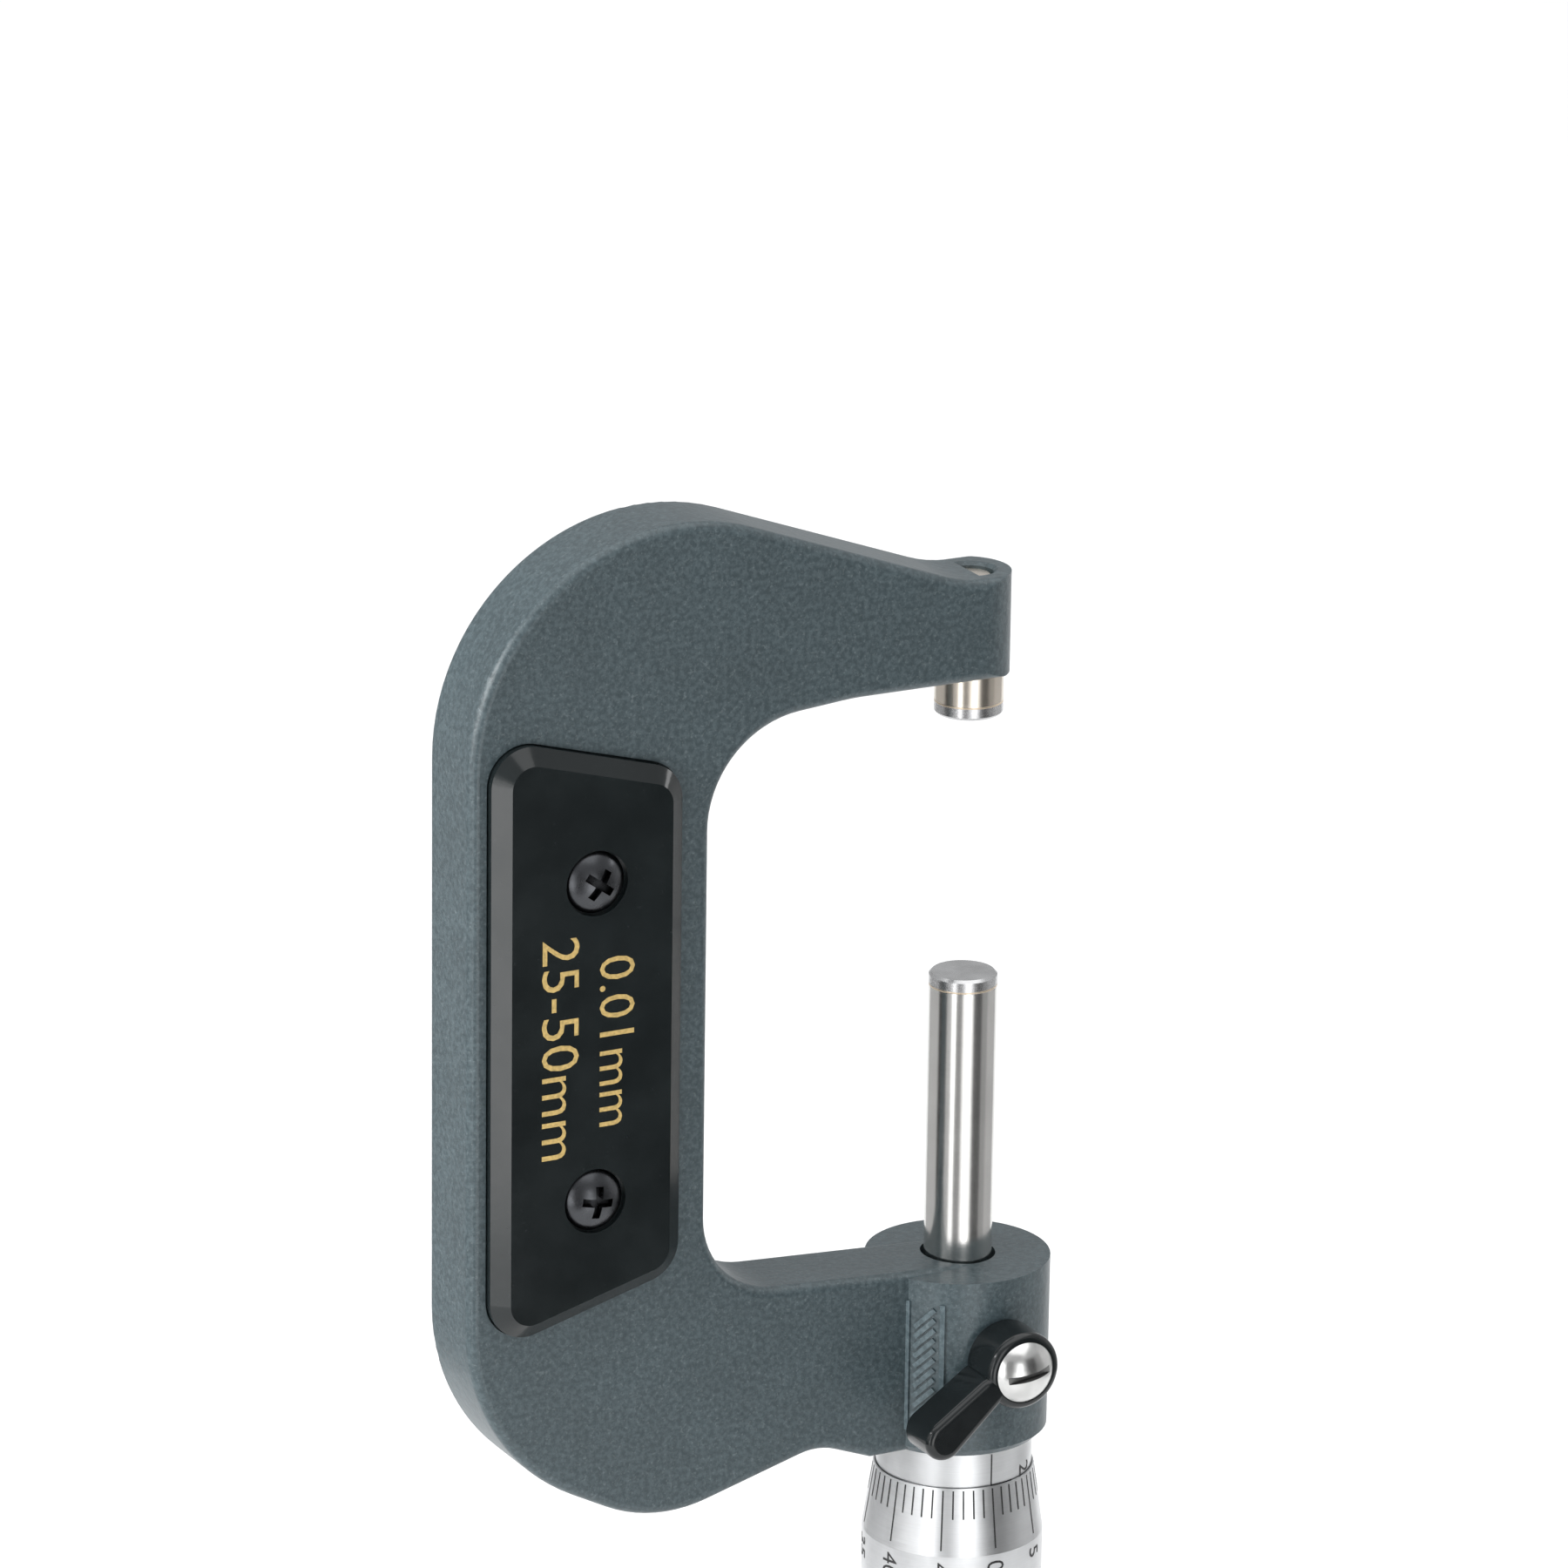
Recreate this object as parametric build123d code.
from build123d import *
import math
import os

# Outside micrometer, range 25 to 50 mm, reading 0.01 mm. All lengths are in millimetres.
# Origin: centre of the anvil's measuring face. +Z runs from the spindle to the anvil, -Y is the
# side with the clamp lever, -X is the back of the C-shaped frame. The screw is fully closed.

# --- Driving dimensions: measuring range ------------------------------------------------------
FACE_GAP = 25.0              # between the measuring faces, at the smallest reading
TRAVEL = 25.0                # of the spindle, away from the anvil
SPINDLE_R = 3.175
THREAD_OVER = 0.225          # screw thread over the rod, radially; a plain cylinder here
TIP_LENGTH = 1.2             # carbide discs on both measuring faces
TIP_CHAMFER = 0.25
OVERRUN = 1.0                # of a cut, past the surface it goes through

# --- Frame -------------------------------------------------------------------------------------
FRAME_T = 8.6
THROAT_DEPTH = 28.6          # measuring axis to the inside of the frame's back
SPINE_W = 23.9
ANVIL_PROUD = 4.1            # measuring face to the underside of the anvil end
ANVIL_END_H = 9.5
ANVIL_END_REACH = 3.6        # past the measuring axis
UPPER_SLOPE = 0.36           # fall of the outer edge, from the shoulder to the anvil end
UPPER_NECK_X = -2.6          # where that edge meets the flat above the anvil
UPPER_NECK_R = 12.0
SHOULDER_R = 21.0
HEEL_R = 20.0
HEEL_DROP = 10.0             # corner of the heel, below the lower arm's top at the boss
HEEL_SLOPE = 0.52
TOE_SHARE = 0.2              # lowest corner behind the throat, as a share of SPINE_W
TOE_R = 14.0
WAIST_L = 5.5                # from the inward bend to the boss's underside
WAIST_SLOPE = 0.28
WAIST_R = 6.0
WAIST_MARGIN = 2.35          # where the underside levels out, outside the boss
UPPER_TAPER = 0.09           # slope of the upper arm's inner edge near the back
LOWER_TAPER = 0.06           # slope of the lower arm's inner edge
UPPER_INNER_RUN = 14.6       # from the throat's back to where the upper edge turns level
UPPER_INNER_R = 10.0
LOWER_INNER_R = 8.0
INNER_BLEND_R = 25.0
EDGE_R = 0.9                 # rounding along the frame's outline
BOSS_R = 8.65
BOSS_H = 17.3
BOSS_CHAMFER = 0.7
BOSS_MARGIN = 2.65           # boss to the spindle's face, fully open
BOSS_WALL = 1.5              # top wall over the bush
BOSS_HOLE_GAP = 0.35         # around the spindle, in that wall

# --- Cover plates and their screws --------------------------------------------------------------
PLATE_PROUD = 1.9
PLATE_POCKET = 0.6
PLATE_GAP = 0.12             # between a plate and its pocket's wall
PLATE_OUTER_MARGIN = 1.7     # from the frame's back edge
PLATE_INNER_MARGIN = 3.25    # from the throat
PLATE_OUTER_EXTRA = 1.25     # long edge over the throat's height
PLATE_INNER_LESS = 9.15      # short edge under the throat's height
PLATE_RISE = 0.8             # plate's centre above the throat's centre
PLATE_CORNER_R = 3.6
PLATE_BEVEL_W = 1.5
PLATE_BEVEL_H = 1.2
PLATE_SCREW_PITCH = 30.1
PLATE_SCREW_RISE = 0.4       # screws' centre above the throat's centre
PLATE_SCREW_SHIFT = 0.35     # screws' line behind the spine's middle
PLATE_SCREW_TURNS = (35, 8)  # of the recesses, degrees
PLATE_SCREW_R = 1.45
PLATE_SCREW_L = 2.8          # thread in the frame
PLATE_HEAD_R = 2.9
PLATE_HEAD_H = 1.3
PLATE_HEAD_SINK = 0.5
CROSS_L = 3.0
CROSS_W = 0.75
CROSS_DEPTH = 0.8
HEAD_GAP = 0.15              # around a screw's head or shank

# --- Anvil ----------------------------------------------------------------------------------------
ANVIL_SHANK_R = 2.1
ANVIL_SHANK_SUNK = 0.5       # shank's end below the frame's top
ANVIL_SHANK_CHAMFER = 0.4
ANVIL_HOLE_CHAMFER = 0.35

# --- Fixed barrel inside the boss -----------------------------------------------------------------
RUNNING = 0.03               # radial clearance of the spindle in its bush and nut
BUSH_WALL = 2.295
BUSH_L = 2.8
CLAMP_RING_L = 5.6
CLAMP_RING_GAP = 0.05
CLAMP_SLIT = 0.8
BARREL_STEP = 0.6            # barrel outside the boss, over the bush's radius
BARREL_BORE_GAP = 0.3        # around the thread, ahead of the nut
NUT_L = 12.0                 # threaded length inside the barrel
NUT_SLIT_W = 0.5
NUT_SLIT_TURNS = (90, 210, 330)
SLEEVE_WALL = 1.18
SLEEVE_GAP = 0.02            # sleeve on the barrel
SLEEVE_BARE = 3.5            # bare sleeve between the boss and the zero line
SLEEVE_SPARE = 2.8           # sleeve past the last graduation
SLEEVE_SEAT = 0.2            # boss to sleeve
SPANNER_HOLE_R = 0.8
ADJUST_NUT_L = 3.2
ADJUST_NUT_CLEAR = 0.38      # inside the thimble
ADJUST_SLOT_W = 1.2
ADJUST_SLOT_DEPTH = 0.6
END_GAP = 0.3                # between parts that follow each other along the axis

# --- Thimble --------------------------------------------------------------------------------------
THIMBLE_WALL = 1.12
THIMBLE_GAP = 0.08           # thimble on the sleeve
THIMBLE_LIP = 0.14           # wall at the bevelled rim
BEVEL_L = 6.5
HUB_CLEAR = 1.5              # barrel's end to the hub, fully closed
HUB_L = 8.0
THIMBLE_WALL_L = 3.0         # rear wall
THIMBLE_STEP = 1.2           # chamfer at the rear edge
GRIP_DEPTH = 0.3             # shallow recess that holds the knurling, on thimble and knob
THIMBLE_GRIP_BELOW = 9.0     # recess below the bevel
THIMBLE_GRIP_END = 4.2       # plain band below the recess
SEAT_STEP = 0.2              # thread to the large end of the conical seat
SEAT_TAPER = 0.5

# --- Ratchet stop ---------------------------------------------------------------------------------
STUD_R = 1.5                 # of the arbor, screwed into the spindle
STUD_L = 6.0
COLLAR_L = 1.6
ARBOR_R = 1.8
KNOB_R = 5.3
KNOB_WALL = 0.92
KNOB_GAP = 0.08              # knob on the collar and on the arbor
KNOB_FACE_GAP = 0.25         # thimble to the knob
KNOB_LIP = 5.2               # knob past its inner wall
KNOB_MOUTH_WALL = 1.6
KNOB_CHAMFER = 0.5
KNOB_GRIP_MARGIN = 1.3       # plain band at each end of the knob
KNOB_WALL_L = 2.0
PAWL_L = 1.6
PAWL_CLEAR = 0.2             # pawl inside the collar's radius
TOOTH_H = 0.45
TOOTH_COUNT = 12
TOOTH_W = 0.7
TOOTH_GAP = 0.05             # between the two rings of teeth, as one rides over the other
KEY_W = 1.0                  # flat key of the arbor in the pawl
KEY_PROUD = 0.6
SPRING_R = 2.9
SPRING_WIRE_R = 0.22
SPRING_L = 3.2
SPRING_TURNS = 3.5
END_SCREW_R = 0.9
END_SCREW_L = 3.5
END_HEAD_R = 2.4
END_HEAD_L = 1.3
WASHER_CLEAR = 0.7           # inside the knob's mouth
WASHER_L = 0.4
SLOT_W = 0.7
SLOT_DEPTH = 0.7

# --- Spindle clamp --------------------------------------------------------------------------------
CLAMP_Z_BELOW_BOSS = 7.4     # lever's axis below the boss's top
LEVER_HUB_R = 3.7
LEVER_T = 4.3
LEVER_STANDOFF = 0.3         # boss to the lever
LEVER_NECK = (-3.3, -1.6)    # arm's start, from the lever's axis
LEVER_NECK_R = 1.45
LEVER_TIP = (-8.1, -5.5)
LEVER_TIP_R = 1.95
LEVER_EDGE_R = 0.7
CLAMP_STUD_R = 2.2
CLAMP_STUD_TOP_R = 1.7
CLAMP_STUD_SHORT = 0.6       # stud's end below the lever's face
PLUNGER_R = 2.0
PLUNGER_L = 1.0
PLUNGER_LIFT = 0.08          # off the clamp ring, released
LEVER_SCREW_R = 0.9
LEVER_SCREW_L = 3.2
LEVER_HEAD_R = 2.9
LEVER_HEAD_H = 1.4
LEVER_SLOT_TURN = -8         # degrees
FIT_GAP = 0.02               # between pieces that are fastened together

# --- Places along the measuring axis --------------------------------------------------------------
SPINDLE_FACE = -FACE_GAP
BOSS_TOP = SPINDLE_FACE - TRAVEL - BOSS_MARGIN
BOSS_BOTTOM = BOSS_TOP - BOSS_H
THROAT_MID = (ANVIL_PROUD + BOSS_TOP) / 2
THROAT_H = ANVIL_PROUD - BOSS_TOP
ANVIL_END_TOP = ANVIL_PROUD + ANVIL_END_H
BUSH_TOP = BOSS_TOP - BOSS_WALL
CLAMP_RING_TOP = BUSH_TOP - BUSH_L - CLAMP_RING_GAP
BARREL_TOP = CLAMP_RING_TOP - CLAMP_RING_L - CLAMP_RING_GAP
CLAMP_Z = BOSS_TOP - CLAMP_Z_BELOW_BOSS
ZERO_LINE = BOSS_BOTTOM - SLEEVE_BARE
SLEEVE_END = ZERO_LINE - TRAVEL - SLEEVE_SPARE
BARREL_END = SLEEVE_END - END_GAP - ADJUST_NUT_L - END_GAP
NUT_TOP = BARREL_END + NUT_L
THREAD_TOP = NUT_TOP + TRAVEL
THREAD_END = BARREL_END - HUB_CLEAR / 2
HUB_TOP = BARREL_END - HUB_CLEAR
HUB_END = HUB_TOP - HUB_L
THIMBLE_END = HUB_END - THIMBLE_WALL_L
COLLAR_END = THIMBLE_END - COLLAR_L
PAWL_TOP = COLLAR_END - SPRING_L
PAWL_END = PAWL_TOP - PAWL_L
KNOB_WALL_TOP = PAWL_END - TOOTH_H - TOOTH_GAP - TOOTH_H
KNOB_WALL_END = KNOB_WALL_TOP - KNOB_WALL_L
KNOB_END = KNOB_WALL_END - KNOB_LIP
ARBOR_END = KNOB_WALL_END - KNOB_FACE_GAP

# --- Places across it -----------------------------------------------------------------------------
FACE_Y = FRAME_T / 2
SPINE_INNER_X = -THROAT_DEPTH
SPINE_OUTER_X = SPINE_INNER_X - SPINE_W
TOE_X = SPINE_INNER_X - TOE_SHARE * SPINE_W
WAIST_END_X = -BOSS_R - WAIST_MARGIN
WAIST_X = WAIST_END_X - WAIST_L
UPPER_INNER_X = SPINE_INNER_X + UPPER_INNER_RUN
PLATE_SCREW_X = (SPINE_INNER_X + SPINE_OUTER_X) / 2 - PLATE_SCREW_SHIFT
THREAD_R = SPINDLE_R + THREAD_OVER
SEAT_R_LARGE = THREAD_R - SEAT_STEP
SEAT_R_SMALL = SEAT_R_LARGE - SEAT_TAPER
BUSH_R = SPINDLE_R + RUNNING + BUSH_WALL
BARREL_R = BUSH_R + BARREL_STEP
SLEEVE_R = BARREL_R + SLEEVE_GAP + SLEEVE_WALL
THIMBLE_BORE_R = SLEEVE_R + THIMBLE_GAP
THIMBLE_R = THIMBLE_BORE_R + THIMBLE_WALL
ADJUST_NUT_R = THIMBLE_BORE_R - ADJUST_NUT_CLEAR
COLLAR_R = KNOB_R - KNOB_WALL - KNOB_GAP
PAWL_R = COLLAR_R - PAWL_CLEAR
KNOB_MOUTH_R = KNOB_R - KNOB_MOUTH_WALL
WASHER_R = KNOB_MOUTH_R - WASHER_CLEAR
LEVER_INNER_Y = -BOSS_R - LEVER_STANDOFF
LEVER_OUTER_Y = LEVER_INNER_Y - LEVER_T
PLUNGER_Y = -BUSH_R - PLUNGER_LIFT


def turned(*points):
    """Solid of revolution about the measuring axis, from a closed outline of (radius, z)."""
    return revolve(Plane.XZ * make_face(Polyline(*points, close=True)), axis=Axis.Z)


def ring(outer_r, inner_r, top, bottom):
    return turned((inner_r, top), (outer_r, top), (outer_r, bottom), (inner_r, bottom))


def rod(radius, top, bottom):
    align = (Align.CENTER, Align.CENTER, Align.MIN)
    return Pos(0, 0, bottom) * Cylinder(radius, top - bottom, align=align)


def cross_rod(radius, x, z, near_y, far_y):
    """Cylinder along Y, from near_y to the smaller far_y."""
    height = near_y - far_y
    return Pos(x, (near_y + far_y) / 2, z) * Rot(90, 0, 0) * Cylinder(radius, height)


def block(x0, x1, y0, y1, z0, z1):
    centre = Pos((x0 + x1) / 2, (y0 + y1) / 2, (z0 + z1) / 2)
    return centre * Box(abs(x1 - x0), abs(y1 - y0), abs(z1 - z0))


def dome(radius, height, x, z, base_y):
    """Spherical cap that stands on the plane y = base_y and points to -Y."""
    ball_r = (radius ** 2 + height ** 2) / (2 * height)
    cap = Sphere(ball_r) & Pos(0, 0, 2 * ball_r - height) * Box(2 * ball_r, 2 * ball_r, 2 * ball_r)
    return Pos(x, base_y, z) * Rot(90, 0, 0) * Pos(0, 0, height - ball_r) * cap


def frame_outline():
    """The C in the XZ plane: outer edge from the anvil end round to the boss, then the throat."""
    shoulder_z = ANVIL_END_TOP + UPPER_SLOPE * (UPPER_NECK_X - SPINE_OUTER_X)
    heel_z = BOSS_TOP - HEEL_DROP
    toe_z = heel_z - HEEL_SLOPE * (TOE_X - SPINE_OUTER_X)
    waist_z = toe_z + WAIST_SLOPE * (WAIST_X - TOE_X)
    upper_inner_z = ANVIL_PROUD + UPPER_TAPER * (SPINE_INNER_X - UPPER_INNER_X)
    lower_inner_z = BOSS_TOP - LOWER_TAPER * SPINE_INNER_X
    corners = [
        ((ANVIL_END_REACH, ANVIL_PROUD), 0),
        ((ANVIL_END_REACH, ANVIL_END_TOP), 0),
        ((UPPER_NECK_X, ANVIL_END_TOP), UPPER_NECK_R),
        ((SPINE_OUTER_X, shoulder_z), SHOULDER_R),
        ((SPINE_OUTER_X, heel_z), HEEL_R),
        ((TOE_X, toe_z), TOE_R),
        ((WAIST_X, waist_z), WAIST_R),
        ((WAIST_END_X, BOSS_BOTTOM), 0),
        ((0, BOSS_BOTTOM), 0),
        ((0, BOSS_TOP), 0),
        ((SPINE_INNER_X, lower_inner_z), LOWER_INNER_R),
        ((SPINE_INNER_X, upper_inner_z), UPPER_INNER_R),
        ((UPPER_INNER_X, ANVIL_PROUD), INNER_BLEND_R),
    ]
    points = [point for point, radius in corners]
    radii = [radius for point, radius in corners]
    return make_face(FilletPolyline(*points, radius=radii, close=True))


def plate_outline(gap):
    """Four-cornered outline of a cover plate in the XZ plane, grown by gap."""
    x_outer = SPINE_OUTER_X + PLATE_OUTER_MARGIN - gap
    x_inner = SPINE_INNER_X - PLATE_INNER_MARGIN + gap
    middle = THROAT_MID + PLATE_RISE
    half_outer = (THROAT_H + PLATE_OUTER_EXTRA) / 2 + gap
    half_inner = (THROAT_H - PLATE_INNER_LESS) / 2 + gap
    points = [
        (x_outer, middle + half_outer),
        (x_inner, middle + half_inner),
        (x_inner, middle - half_inner),
        (x_outer, middle - half_outer),
    ]
    return make_face(FilletPolyline(*points, radius=PLATE_CORNER_R + gap, close=True))


def slab(face, near_y, far_y):
    """Face in the XZ plane, thickened from near_y to the smaller far_y."""
    return Pos(0, near_y, 0) * extrude(Plane.XZ * face, amount=near_y - far_y)


def rear_copy(part):
    """The same piece turned half a turn onto the rear face: mirrored, so the outline matches."""
    return mirror(part, about=Plane.XZ)


def screw_places():
    middle = THROAT_MID + PLATE_SCREW_RISE
    return [(PLATE_SCREW_X, middle + side * PLATE_SCREW_PITCH / 2) for side in (1, -1)]


def anvil_end_corners():
    """What is cut away to leave the anvil end half round, seen along the axis."""
    centre_x = ANVIL_END_REACH - FACE_Y
    side_y = FACE_Y + OVERRUN
    top = ANVIL_END_TOP + OVERRUN
    bottom = ANVIL_PROUD - OVERRUN
    box = block(centre_x, ANVIL_END_REACH + OVERRUN, -side_y, side_y, bottom, top)
    return box - Pos(centre_x, 0, 0) * rod(FACE_Y, top + OVERRUN, bottom - OVERRUN)


def frame():
    body = slab(frame_outline(), FACE_Y, -FACE_Y)
    rim = body.faces().sort_by(Axis.Y)[0].edges() + body.faces().sort_by(Axis.Y)[-1].edges()
    body = fillet([edge for edge in rim if edge.center().X < UPPER_NECK_X], EDGE_R)
    body -= anvil_end_corners()
    body += turned((0, BOSS_TOP), (BOSS_R, BOSS_TOP), (BOSS_R, BOSS_BOTTOM + BOSS_CHAMFER),
                   (BOSS_R - BOSS_CHAMFER, BOSS_BOTTOM), (0, BOSS_BOTTOM))
    body -= turned((0, BOSS_TOP + OVERRUN), (SPINDLE_R + BOSS_HOLE_GAP, BOSS_TOP + OVERRUN),
                   (SPINDLE_R + BOSS_HOLE_GAP, BUSH_TOP), (BUSH_R, BUSH_TOP),
                   (BUSH_R, BOSS_BOTTOM - OVERRUN), (0, BOSS_BOTTOM - OVERRUN))
    body -= turned((0, ANVIL_PROUD - OVERRUN), (ANVIL_SHANK_R, ANVIL_PROUD - OVERRUN),
                   (ANVIL_SHANK_R, ANVIL_END_TOP - ANVIL_HOLE_CHAMFER),
                   (ANVIL_SHANK_R + ANVIL_HOLE_CHAMFER, ANVIL_END_TOP), (0, ANVIL_END_TOP))
    body -= cross_rod(CLAMP_STUD_R + RUNNING, 0, CLAMP_Z, 0, -BOSS_R - OVERRUN)
    pocket = slab(plate_outline(PLATE_GAP), -FACE_Y + PLATE_POCKET, -FACE_Y - OVERRUN)
    body -= pocket
    body -= rear_copy(pocket)
    for x, z in screw_places():
        body -= cross_rod(PLATE_SCREW_R + FIT_GAP, x, z, FACE_Y, -FACE_Y)
    return body


def cover_plate():
    floor_y = -FACE_Y + PLATE_POCKET
    top_y = -FACE_Y - PLATE_PROUD
    plate = slab(plate_outline(0), floor_y, top_y)
    top = plate.faces().sort_by(Axis.Y)[0]
    plate = chamfer(top.edges(), PLATE_BEVEL_W, PLATE_BEVEL_H, reference=top)
    for x, z in screw_places():
        plate -= cross_rod(PLATE_SCREW_R + HEAD_GAP, x, z, floor_y, top_y)
        plate -= cross_rod(PLATE_HEAD_R + HEAD_GAP, x, z, top_y + PLATE_HEAD_SINK, top_y)
    return plate


def cross_recess(x, z, face_y, turn):
    bar = Box(CROSS_L, CROSS_DEPTH, CROSS_W) + Box(CROSS_W, CROSS_DEPTH, CROSS_L)
    return Pos(x, face_y + CROSS_DEPTH / 2, z) * Rot(0, turn, 0) * bar


def plate_screws():
    """Two pan-head screws with a cross recess, as separate solids."""
    seat_y = -FACE_Y - PLATE_PROUD + PLATE_HEAD_SINK
    end_y = -FACE_Y + PLATE_POCKET + PLATE_SCREW_L
    screws = []
    for (x, z), turn in zip(screw_places(), PLATE_SCREW_TURNS):
        head = dome(PLATE_HEAD_R, PLATE_HEAD_H, x, z, seat_y)
        shank = cross_rod(PLATE_SCREW_R, x, z, end_y, seat_y)
        screws.append(head + shank - cross_recess(x, z, seat_y - PLATE_HEAD_H, turn))
    return Compound(children=screws)


def anvil():
    shank_end = ANVIL_END_TOP - ANVIL_SHANK_SUNK
    return turned((0, TIP_LENGTH), (SPINDLE_R, TIP_LENGTH), (SPINDLE_R, ANVIL_PROUD),
                  (ANVIL_SHANK_R, ANVIL_PROUD), (ANVIL_SHANK_R, shank_end - ANVIL_SHANK_CHAMFER),
                  (ANVIL_SHANK_R - ANVIL_SHANK_CHAMFER, shank_end), (0, shank_end))


def measuring_tip(face_z, back_z):
    """Carbide disc with its chamfered measuring face at face_z."""
    inward = math.copysign(TIP_CHAMFER, back_z - face_z)
    return turned((0, face_z), (SPINDLE_R - TIP_CHAMFER, face_z), (SPINDLE_R, face_z + inward),
                  (SPINDLE_R, back_z), (0, back_z))


def guide_bush():
    return ring(BUSH_R, SPINDLE_R + RUNNING, BUSH_TOP, BUSH_TOP - BUSH_L)


def clamp_ring():
    """Split ring that the plunger closes on the spindle."""
    body = ring(BUSH_R - CLAMP_RING_GAP, SPINDLE_R + RUNNING, CLAMP_RING_TOP, CLAMP_RING_TOP - CLAMP_RING_L)
    half = CLAMP_SLIT / 2
    return body - block(-half, half, 0, BUSH_R + OVERRUN, CLAMP_RING_TOP + OVERRUN, BARREL_TOP - OVERRUN)


def barrel():
    """Fixed nut: seated in the boss, threaded at its far end, where three slits let it close."""
    bore = THREAD_R + BARREL_BORE_GAP
    body = turned((bore, BARREL_TOP), (BUSH_R, BARREL_TOP), (BUSH_R, BOSS_BOTTOM),
                  (BARREL_R, BOSS_BOTTOM), (BARREL_R, BARREL_END), (THREAD_R + RUNNING, BARREL_END),
                  (THREAD_R + RUNNING, NUT_TOP), (bore, NUT_TOP))
    half = NUT_SLIT_W / 2
    slit = block(0, BARREL_R + OVERRUN, -half, half, NUT_TOP, BARREL_END - OVERRUN)
    for turn in NUT_SLIT_TURNS:
        body -= Rot(0, 0, turn) * slit
    return body


def graduated_sleeve():
    body = ring(SLEEVE_R, BARREL_R + SLEEVE_GAP, BOSS_BOTTOM - SLEEVE_SEAT, SLEEVE_END)
    hole_z = (BOSS_BOTTOM - SLEEVE_SEAT + ZERO_LINE) / 2
    return body - cross_rod(SPANNER_HOLE_R, 0, hole_z, SLEEVE_R + OVERRUN, 0)


def adjusting_nut():
    """Closes the slit end of the barrel to take up wear; two slots for its spanner."""
    top = SLEEVE_END - END_GAP
    bottom = top - ADJUST_NUT_L
    body = ring(ADJUST_NUT_R, BARREL_R + FIT_GAP, top, bottom)
    half = ADJUST_SLOT_W / 2
    slot_in = ADJUST_NUT_R - ADJUST_SLOT_DEPTH
    slot = block(slot_in, ADJUST_NUT_R + OVERRUN, -half, half, top + OVERRUN, bottom - OVERRUN)
    return body - slot - Rot(0, 0, 180) * slot


def spindle():
    """Ground rod, screw thread and the conical seat of the thimble, tapped for the arbor."""
    body = turned((0, SPINDLE_FACE - TIP_LENGTH), (SPINDLE_R, SPINDLE_FACE - TIP_LENGTH),
                  (SPINDLE_R, THREAD_TOP), (THREAD_R, THREAD_TOP), (THREAD_R, THREAD_END),
                  (SEAT_R_LARGE, THREAD_END), (SEAT_R_LARGE, HUB_TOP), (SEAT_R_SMALL, HUB_END),
                  (0, HUB_END))
    return body - rod(STUD_R + FIT_GAP, HUB_END + STUD_L + END_GAP, HUB_END - OVERRUN)


def thimble_hub():
    """Ring pressed into the thimble; its cone grips the spindle."""
    return turned((SEAT_R_LARGE + FIT_GAP, HUB_TOP), (THIMBLE_BORE_R, HUB_TOP),
                  (THIMBLE_BORE_R, HUB_END), (SEAT_R_SMALL + FIT_GAP, HUB_END))


def thimble():
    rim_r = THIMBLE_BORE_R + THIMBLE_LIP
    grip_r = THIMBLE_R - GRIP_DEPTH
    grip_top = ZERO_LINE - BEVEL_L - THIMBLE_GRIP_BELOW
    grip_end = THIMBLE_END + THIMBLE_STEP + THIMBLE_GRIP_END
    return turned((THIMBLE_BORE_R, ZERO_LINE), (rim_r, ZERO_LINE), (THIMBLE_R, ZERO_LINE - BEVEL_L),
                  (THIMBLE_R, grip_top), (grip_r, grip_top), (grip_r, grip_end), (THIMBLE_R, grip_end),
                  (THIMBLE_R, THIMBLE_END + THIMBLE_STEP), (THIMBLE_R - THIMBLE_STEP, THIMBLE_END),
                  (STUD_R + HEAD_GAP, THIMBLE_END), (STUD_R + HEAD_GAP, HUB_END),
                  (THIMBLE_BORE_R, HUB_END))


def ratchet_arbor():
    """Screw that holds the thimble on the spindle and carries the ratchet."""
    body = turned((0, HUB_END + STUD_L), (STUD_R, HUB_END + STUD_L), (STUD_R, THIMBLE_END),
                  (COLLAR_R, THIMBLE_END), (COLLAR_R, COLLAR_END), (ARBOR_R, COLLAR_END),
                  (ARBOR_R, ARBOR_END), (0, ARBOR_END))
    half = KEY_W / 2
    reach = ARBOR_R + KEY_PROUD
    body += block(-reach, reach, -half, half, COLLAR_END, PAWL_END)
    return body - rod(END_SCREW_R + FIT_GAP, ARBOR_END + END_SCREW_L + END_GAP, ARBOR_END - OVERRUN)


def tooth_ring(base_z, tip_z):
    """Radial ridges of a crown ratchet, on the annulus between arbor and pawl rim."""
    inner = ARBOR_R + KEY_PROUD + HEAD_GAP
    middle = (inner + PAWL_R) / 2
    height = abs(base_z - tip_z)
    ridge = Pos(middle, 0, (base_z + tip_z) / 2) * Box(PAWL_R - inner - FIT_GAP, TOOTH_W, height)
    ridge &= ring(PAWL_R, inner, max(base_z, tip_z), min(base_z, tip_z))
    step = 360 / TOOTH_COUNT
    return [Rot(0, 0, index * step) * ridge for index in range(TOOTH_COUNT)]


def ratchet_pawl():
    """Toothed ring, keyed to the arbor, that the spring presses on the knob's teeth."""
    body = ring(PAWL_R, ARBOR_R + KNOB_GAP, PAWL_TOP, PAWL_END)
    half = KEY_W / 2 + HEAD_GAP
    reach = ARBOR_R + KEY_PROUD + HEAD_GAP
    body -= block(-reach, reach, -half, half, PAWL_TOP + OVERRUN, PAWL_END - OVERRUN)
    for ridge in tooth_ring(PAWL_END, PAWL_END - TOOTH_H):
        body += ridge
    return body


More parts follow.
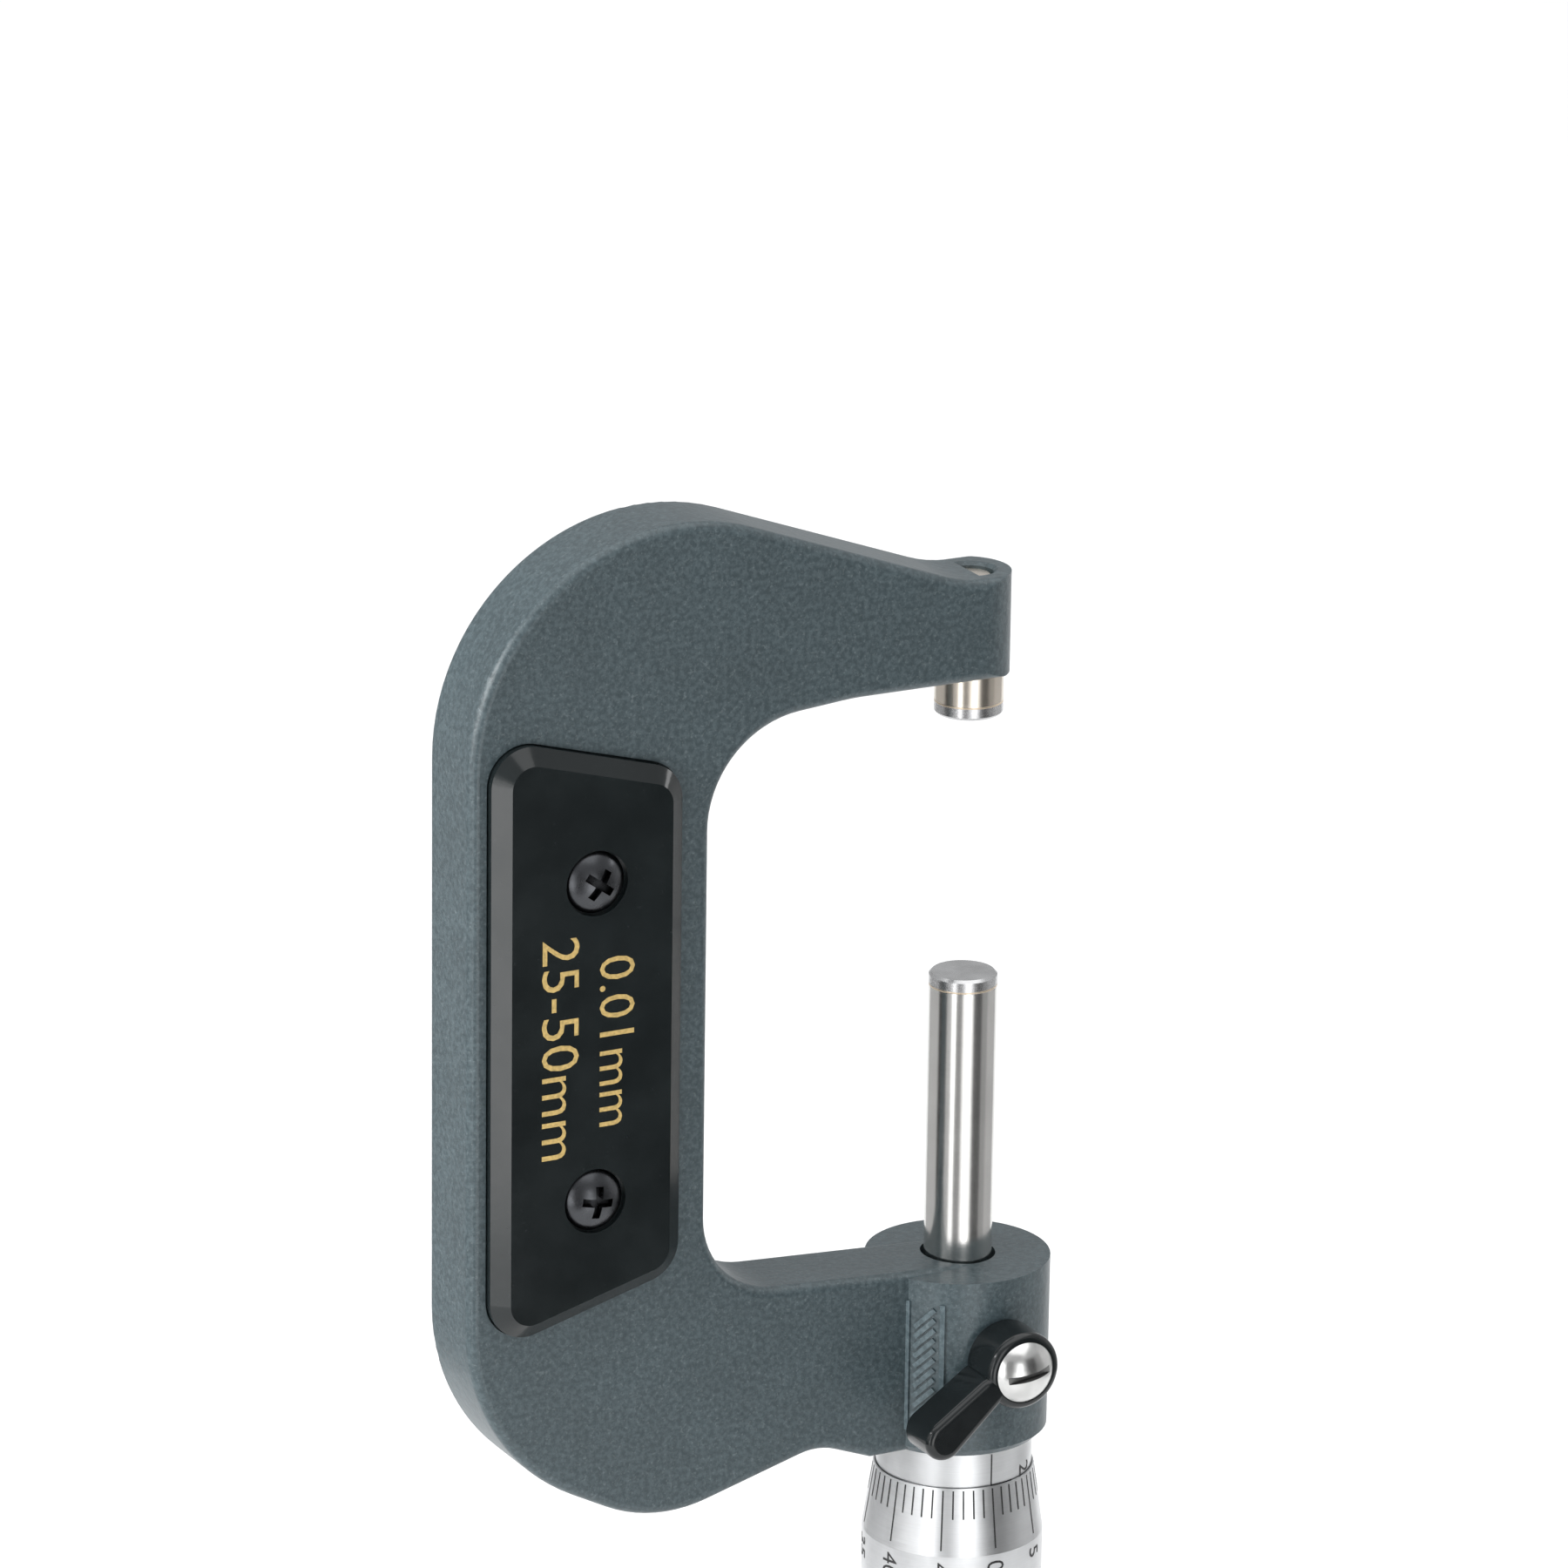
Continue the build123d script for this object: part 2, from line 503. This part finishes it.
def ratchet_knob():
    """Cup over the ratchet: runs on the arbor and its collar, with teeth on the inner wall."""
    bore = COLLAR_R + KNOB_GAP
    top = THIMBLE_END - KNOB_FACE_GAP
    grip_r = KNOB_R - GRIP_DEPTH
    grip_top = top - KNOB_GRIP_MARGIN
    grip_end = KNOB_END + KNOB_GRIP_MARGIN
    body = turned((bore, top), (KNOB_R - KNOB_CHAMFER, top), (KNOB_R, top - KNOB_CHAMFER),
                  (KNOB_R, grip_top), (grip_r, grip_top), (grip_r, grip_end), (KNOB_R, grip_end),
                  (KNOB_R, KNOB_END + KNOB_CHAMFER), (KNOB_R - KNOB_CHAMFER, KNOB_END),
                  (KNOB_MOUTH_R, KNOB_END), (KNOB_MOUTH_R, KNOB_WALL_END),
                  (ARBOR_R + KNOB_GAP, KNOB_WALL_END), (ARBOR_R + KNOB_GAP, KNOB_WALL_TOP),
                  (bore, KNOB_WALL_TOP))
    for ridge in tooth_ring(KNOB_WALL_TOP, KNOB_WALL_TOP + TOOTH_H):
        body += ridge
    return body


def ratchet_spring():
    path_l = SPRING_L - 2 * SPRING_WIRE_R - 2 * FIT_GAP
    start = PAWL_TOP + SPRING_WIRE_R + FIT_GAP
    path = Helix(pitch=path_l / SPRING_TURNS, height=path_l, radius=SPRING_R)
    wire = Plane(origin=path @ 0, z_dir=path % 0) * Circle(SPRING_WIRE_R)
    return Pos(0, 0, start) * sweep(wire, path=path, is_frenet=True)


def ratchet_washer():
    return ring(WASHER_R, END_SCREW_R + HEAD_GAP, ARBOR_END, ARBOR_END - WASHER_L)


def ratchet_end_screw():
    seat = ARBOR_END - WASHER_L
    head_end = seat - END_HEAD_L
    body = turned((0, ARBOR_END + END_SCREW_L), (END_SCREW_R, ARBOR_END + END_SCREW_L),
                  (END_SCREW_R, seat), (END_HEAD_R, seat), (END_HEAD_R, head_end), (0, head_end))
    half = SLOT_W / 2
    return body - block(-END_HEAD_R, END_HEAD_R, -half, half, head_end + SLOT_DEPTH, head_end - OVERRUN)


def clamp_lever():
    """Round hub with a flared finger arm, thickened along Y."""
    neck_x, neck_z = LEVER_NECK
    tip_x, tip_z = LEVER_TIP
    hub = Pos(0, CLAMP_Z) * Circle(LEVER_HUB_R)
    neck = Pos(neck_x, CLAMP_Z + neck_z) * Circle(LEVER_NECK_R)
    tip = Pos(tip_x, CLAMP_Z + tip_z) * Circle(LEVER_TIP_R)
    arm = make_hull(neck.edges() + tip.edges())
    body = slab(hub + arm, LEVER_INNER_Y, LEVER_OUTER_Y)
    body = fillet(body.faces().sort_by(Axis.Y)[0].edges(), LEVER_EDGE_R)
    hole_r = CLAMP_STUD_TOP_R + FIT_GAP
    return body - cross_rod(hole_r, 0, CLAMP_Z, LEVER_INNER_Y + OVERRUN, LEVER_OUTER_Y - OVERRUN)


def clamp_stud():
    end_y = LEVER_OUTER_Y + CLAMP_STUD_SHORT
    hole_y = LEVER_OUTER_Y + LEVER_SCREW_L + END_GAP
    body = cross_rod(CLAMP_STUD_R, 0, CLAMP_Z, PLUNGER_Y - PLUNGER_L, LEVER_INNER_Y)
    body += cross_rod(CLAMP_STUD_TOP_R, 0, CLAMP_Z, LEVER_INNER_Y, end_y)
    return body - cross_rod(LEVER_SCREW_R + FIT_GAP, 0, CLAMP_Z, hole_y, end_y - OVERRUN)


def clamp_plunger():
    return cross_rod(PLUNGER_R, 0, CLAMP_Z, PLUNGER_Y, PLUNGER_Y - PLUNGER_L)


def clamp_lever_screw():
    head = dome(LEVER_HEAD_R, LEVER_HEAD_H, 0, CLAMP_Z, LEVER_OUTER_Y)
    shank = cross_rod(LEVER_SCREW_R, 0, CLAMP_Z, LEVER_OUTER_Y + LEVER_SCREW_L, LEVER_OUTER_Y)
    slot_top = LEVER_OUTER_Y - LEVER_HEAD_H
    slot = Box(2 * LEVER_HEAD_R, 2 * SLOT_DEPTH, SLOT_W)
    return head + shank - Pos(0, slot_top, CLAMP_Z) * Rot(0, LEVER_SLOT_TURN, 0) * slot


def nodes():
    plate = cover_plate()
    screws = plate_screws()
    return {
        "frame": frame(),
        "anvil": anvil(),
        "anvil_tip": measuring_tip(0, TIP_LENGTH),
        "front_cover_plate": plate,
        "rear_cover_plate": rear_copy(plate),
        "front_plate_screws": screws,
        "rear_plate_screws": rear_copy(screws),
        "guide_bush": guide_bush(),
        "clamp_ring": clamp_ring(),
        "barrel": barrel(),
        "graduated_sleeve": graduated_sleeve(),
        "adjusting_nut": adjusting_nut(),
        "spindle_tip": measuring_tip(SPINDLE_FACE, SPINDLE_FACE - TIP_LENGTH),
        "spindle": spindle(),
        "thimble_hub": thimble_hub(),
        "thimble": thimble(),
        "ratchet_arbor": ratchet_arbor(),
        "ratchet_spring": ratchet_spring(),
        "ratchet_washer": ratchet_washer(),
        "ratchet_end_screw": ratchet_end_screw(),
        "ratchet_pawl": ratchet_pawl(),
        "ratchet_knob": ratchet_knob(),
        "clamp_lever": clamp_lever(),
        "clamp_stud": clamp_stud(),
        "clamp_plunger": clamp_plunger(),
        "clamp_lever_screw": clamp_lever_screw(),
    }


os.makedirs("parts", exist_ok=True)
for name, shape in nodes().items():
    export_step(shape, f"parts/{name}.step")
